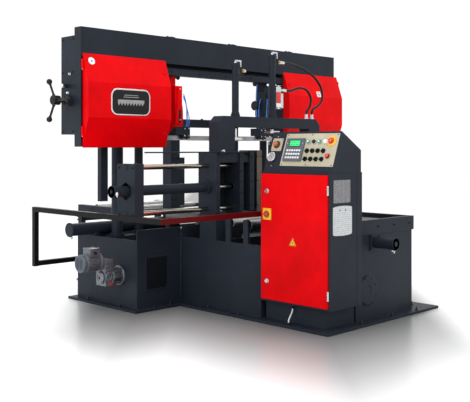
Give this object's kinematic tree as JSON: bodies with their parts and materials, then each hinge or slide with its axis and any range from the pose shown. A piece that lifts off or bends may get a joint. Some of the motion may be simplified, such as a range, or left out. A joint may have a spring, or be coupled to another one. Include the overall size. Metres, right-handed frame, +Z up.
{
  "type": "band saw",
  "caption": "Twin-column horizontal band saw with a saw bow, hydraulic vice, roller table and control cabinet.",
  "frame": {"origin": "on the floor below the middle of the saw bow", "axes": "+X along the bow towards the drive wheel, +Y from the operator's side to the infeed side, +Z up"},
  "size_m": [3.439, 3.482, 2.315],
  "materials": {
    "dark_paint": "satin",
    "red_paint": "gloss",
    "black_paint": "satin",
    "steel": "machined",
    "cast": "machined",
    "chrome": "polished",
    "aluminium": "cast",
    "panel_paint": "satin",
    "black_plastic": "matt",
    "grey_plastic": "matt",
    "red_plastic": "gloss",
    "green_plastic": "gloss",
    "hose_rubber": "matt",
    "cable_grey": "matt"
  },
  "bodies": {
    "frame": {"base_plate": "dark_paint", "left_pedestal": "dark_paint", "right_pedestal": "dark_paint", "centre_bed": "dark_paint", "bed_table": "steel", "outfeed_tub": "dark_paint", "table_frame": "dark_paint", "infeed_frame": "dark_paint", "guard_rail": "black_paint", "auger_gearmotor": "aluminium", "control_cabinet": "dark_paint", "control_console": "dark_paint", "panel_plate": "panel_paint", "display_unit": "grey_plastic", "pressure_gauge": "chrome", "selector_switches": "black_plastic", "gantry": "dark_paint", "clamp_cylinders": "dark_paint", "cylinder_fittings": "chrome", "vice_cylinder": "dark_paint", "rear_gantry": "dark_paint", "side_cylinder": "dark_paint", "columns": "dark_paint", "lift_barrels": "dark_paint", "upper_hose": "hose_rubber", "lower_hose": "hose_rubber", "supply_cable": "cable_grey"},
    "bow": {"bow_frame": "dark_paint", "tension_housing": "dark_paint", "column_sleeves": "dark_paint", "drive_gearmotor": "dark_paint", "saw_blade": "steel", "right_guide_arm": "red_paint"},
    "vice": {"vice_rods": "chrome", "vice_crosshead": "dark_paint", "vice_jaw": "steel"},
    "left_guide": {"left_guide_arm": "red_paint"},
    "drive_wheel": {"drive_wheel": "cast"},
    "idler_wheel": {"idler_wheel": "cast"},
    "tension_carriage": {"tension_carriage": "steel"},
    "tension_handwheel": {"tension_handwheel": "black_plastic"},
    "left_cover": {"left_cover": "red_paint"},
    "right_cover": {"right_cover": "red_paint"},
    "left_clamp_ram": {"left_clamp_ram": "chrome"},
    "right_clamp_ram": {"right_clamp_ram": "chrome"},
    "outfeed_roller_1": {"outfeed_roller_1": "steel"},
    "outfeed_roller_2": {"outfeed_roller_2": "steel"},
    "infeed_roller_1": {"infeed_roller_1": "steel"},
    "infeed_roller_2": {"infeed_roller_2": "steel"},
    "chip_auger": {"chip_auger": "steel"},
    "cabinet_door": {"cabinet_door": "red_paint"},
    "main_switch": {"main_switch": "red_plastic"},
    "upper_lock": {"upper_lock": "chrome"},
    "lower_lock": {"lower_lock": "chrome"},
    "start_button": {"start_button": "green_plastic"},
    "stop_button": {"stop_button": "black_plastic"},
    "coolant_button": {"coolant_button": "green_plastic"},
    "emergency_stop": {"emergency_stop": "red_plastic"},
    "blade_speed_knob": {"blade_speed_knob": "red_plastic"},
    "feed_rate_knob": {"feed_rate_knob": "red_plastic"}
  },
  "joints": [
    {"name": "bow_feed", "type": "slide", "parent": "frame", "child": "bow", "axis": [0, 0, 1], "range_m": [-0.6, 0]},
    {"name": "drive_spin", "type": "hinge", "parent": "bow", "child": "drive_wheel", "pos_m": [1.215, 0.097, 1.721], "axis": [0, 1, 0], "continuous": true},
    {"name": "handwheel_turn", "type": "hinge", "parent": "bow", "child": "tension_handwheel", "pos_m": [-1.742, 0.21, 1.721], "axis": [1, 0, 0], "range_deg": [0, 865]},
    {"name": "blade_tension", "type": "slide", "parent": "bow", "child": "tension_carriage", "axis": [1, 0, 0], "range_m": [0, 0.012]},
    {"name": "idler_spin", "type": "hinge", "parent": "tension_carriage", "child": "idler_wheel", "pos_m": [-1.165, 0.097, 1.721], "axis": [0, 1, 0], "continuous": true},
    {"name": "left_guide_slide", "type": "slide", "parent": "bow", "child": "left_guide", "axis": [1, 0, 0], "range_m": [0, 0.45]},
    {"name": "left_cover_hinge", "type": "hinge", "parent": "bow", "child": "left_cover", "pos_m": [-1.603, 0.0477, 1.72], "axis": [0, 0, -1], "range_deg": [0, 105]},
    {"name": "right_cover_hinge", "type": "hinge", "parent": "bow", "child": "right_cover", "pos_m": [1.659, 0.0477, 1.72], "axis": [0, 0, 1], "range_deg": [0, 105]},
    {"name": "vice_slide", "type": "slide", "parent": "frame", "child": "vice", "axis": [1, 0, 0], "range_m": [0, 0.548]},
    {"name": "left_clamp", "type": "slide", "parent": "frame", "child": "left_clamp_ram", "axis": [0, 0, 1], "range_m": [-0.09, 0]},
    {"name": "right_clamp", "type": "slide", "parent": "frame", "child": "right_clamp_ram", "axis": [0, 0, 1], "range_m": [-0.14, 0]},
    {"name": "outfeed_roller_1_spin", "type": "hinge", "parent": "frame", "child": "outfeed_roller_1", "pos_m": [-0.1, -0.64, 0.731], "axis": [1, 0, 0], "continuous": true},
    {"name": "outfeed_roller_2_spin", "type": "hinge", "parent": "frame", "child": "outfeed_roller_2", "pos_m": [-0.1, -0.84, 0.731], "axis": [1, 0, 0], "continuous": true},
    {"name": "infeed_roller_1_spin", "type": "hinge", "parent": "frame", "child": "infeed_roller_1", "pos_m": [-0.1, 1, 0.731], "axis": [1, 0, 0], "continuous": true},
    {"name": "infeed_roller_2_spin", "type": "hinge", "parent": "frame", "child": "infeed_roller_2", "pos_m": [-0.1, 1.4, 0.731], "axis": [1, 0, 0], "continuous": true},
    {"name": "auger_spin", "type": "hinge", "parent": "frame", "child": "chip_auger", "pos_m": [-1.1, 0.16, 0.276], "axis": [1, 0, 0], "continuous": true},
    {"name": "door_hinge", "type": "hinge", "parent": "frame", "child": "cabinet_door", "pos_m": [-0.703, -1.696, 0.66], "axis": [0, 0, 1], "range_deg": [0, 110]},
    {"name": "main_switch_turn", "type": "hinge", "parent": "cabinet_door", "child": "main_switch", "pos_m": [-0.7053, -1.105, 0.836], "axis": [1, 0, 0], "range_deg": [0, 90]},
    {"name": "upper_lock_turn", "type": "hinge", "parent": "cabinet_door", "child": "upper_lock", "pos_m": [-0.7053, -1.101, 1.011], "axis": [1, 0, 0], "range_deg": [0, 90]},
    {"name": "lower_lock_turn", "type": "hinge", "parent": "cabinet_door", "child": "lower_lock", "pos_m": [-0.7053, -1.101, 0.321], "axis": [1, 0, 0], "range_deg": [0, 90]},
    {"name": "start_button_press", "type": "slide", "parent": "frame", "child": "start_button", "axis": [0.9371, 0, -0.3491], "range_m": [0, 0.004], "stiffness_N_per_m": 600},
    {"name": "stop_button_press", "type": "slide", "parent": "frame", "child": "stop_button", "axis": [0.9371, 0, -0.3491], "range_m": [0, 0.004], "stiffness_N_per_m": 600},
    {"name": "coolant_button_press", "type": "slide", "parent": "frame", "child": "coolant_button", "axis": [0.9371, 0, -0.3491], "range_m": [0, 0.004], "stiffness_N_per_m": 600},
    {"name": "emergency_stop_press", "type": "slide", "parent": "frame", "child": "emergency_stop", "axis": [0.9371, 0, -0.3491], "range_m": [0, 0.006], "stiffness_N_per_m": 800},
    {"name": "blade_speed_turn", "type": "hinge", "parent": "frame", "child": "blade_speed_knob", "pos_m": [-0.6053, -1.62, 1.281], "axis": [-0.9371, 0, 0.3491], "range_deg": [-135, 135]},
    {"name": "feed_rate_turn", "type": "hinge", "parent": "frame", "child": "feed_rate_knob", "pos_m": [-0.5733, -1.095, 1.367], "axis": [-0.9371, 0, 0.3491], "range_deg": [-135, 135]}
  ],
  "couplings": [
    {"joint": "handwheel_turn", "follows": "blade_tension", "rad_per_m": 1256.6},
    {"joint": "idler_spin", "follows": "drive_spin", "ratio": 1}
  ]
}
